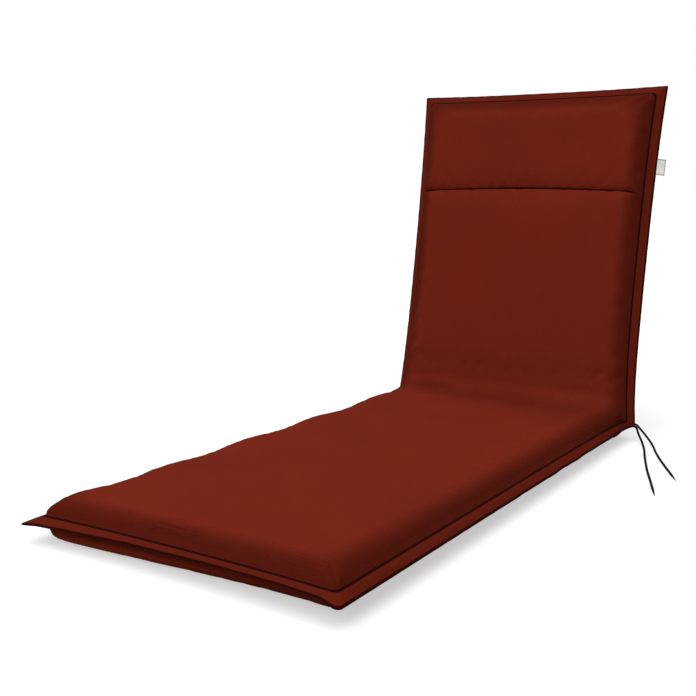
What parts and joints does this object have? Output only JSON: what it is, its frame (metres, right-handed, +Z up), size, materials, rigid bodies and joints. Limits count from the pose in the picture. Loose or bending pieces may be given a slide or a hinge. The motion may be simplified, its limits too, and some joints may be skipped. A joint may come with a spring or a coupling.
{
  "type": "sun lounger cushion",
  "caption": "Filled cloth cushion for a sun lounger, folded into a flat seat and a raised back, with a stand-up hem, a headrest channel, a bare side tag and loose ties.",
  "frame": {"origin": "on the ground under the middle of the cushion's length and width", "axes": "+Z up; +Y along the seat from the foot end towards the back; +X to the side that carries the tag and the ties"},
  "size_m": [0.768, 1.3193, 0.7678],
  "materials": {
    "terracotta_cloth": "matt plain-weave polyester cloth, terracotta",
    "tag_satin": "white satin ribbon, bare",
    "tie_cord": "matt round braided cord, nearly black brown"
  },
  "bodies": {
    "root": {"cushion": "terracotta_cloth", "side_tag": "tag_satin", "tie_long": "tie_cord", "tie_short": "tie_cord"}
  },
  "joints": []
}
